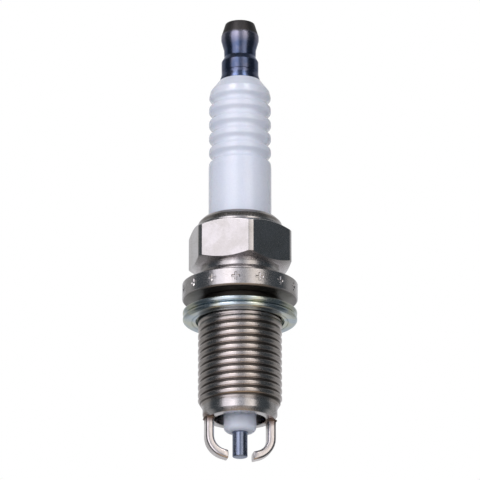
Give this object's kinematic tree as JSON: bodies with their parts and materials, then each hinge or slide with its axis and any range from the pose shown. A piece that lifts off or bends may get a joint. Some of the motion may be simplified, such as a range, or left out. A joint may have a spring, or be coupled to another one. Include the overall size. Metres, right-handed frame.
{
  "type": "spark plug",
  "caption": "Resistor spark plug with gasket seat, ribbed insulator, hexagon shell, removable terminal nut and side electrodes facing the centre electrode.",
  "frame": {"origin": "on the plug's axis, in the plane of the loose gasket's underside, which is the face that meets the cylinder head", "axes": "+Z along the plug's axis, towards the terminal; the ground electrodes lie along X and two flats of the hexagon face +X and -X"},
  "size_m": [0.0192, 0.0192, 0.0764],
  "materials": {
    "nickel_plated_steel": "nickel plate over turned, rolled and cold-formed steel",
    "glazed_alumina": "clear glaze over white alumina",
    "blued_steel": "blue-black oxide, satin",
    "conductive_glass": "copper-filled sealing glass",
    "resistor_mass": "carbon and glass mass, matt",
    "nickel_alloy_dark": "drawn nickel alloy, dark blue-grey",
    "nickel_alloy_bright": "bright nickel alloy bar",
    "copper": "copper core",
    "packing_steel": "soft steel, plain",
    "talc": "pressed talc powder",
    "zinc_plated_steel": "blue-passivated zinc plate",
    "weld_metal": "heat-tinted resistance weld"
  },
  "bodies": {
    "plug": {"shell": "nickel_plated_steel", "insulator": "glazed_alumina", "terminal_stud": "blued_steel", "upper_glass_seal": "conductive_glass", "resistor": "resistor_mass", "lower_glass_seal": "conductive_glass", "centre_electrode": "nickel_alloy_dark", "centre_electrode_core": "copper", "seat_packing": "packing_steel", "lower_packing_ring": "packing_steel", "talc_fill": "talc", "upper_packing_ring": "packing_steel", "left_ground_electrode": "nickel_alloy_bright", "right_ground_electrode": "nickel_alloy_bright", "left_ground_weld": "weld_metal", "right_ground_weld": "weld_metal"},
    "gasket": {"gasket": "zinc_plated_steel"},
    "terminal_nut": {"terminal_nut": "blued_steel"}
  },
  "joints": [
    {"name": "gasket_slide", "type": "slide", "parent": "plug", "child": "gasket", "axis": [0, 0, 1], "range_m": [0, 0.00168]},
    {"name": "nut_lift", "type": "slide", "parent": "plug", "child": "terminal_nut", "axis": [0, 0, 1], "range_m": [0, 0.0085]}
  ]
}
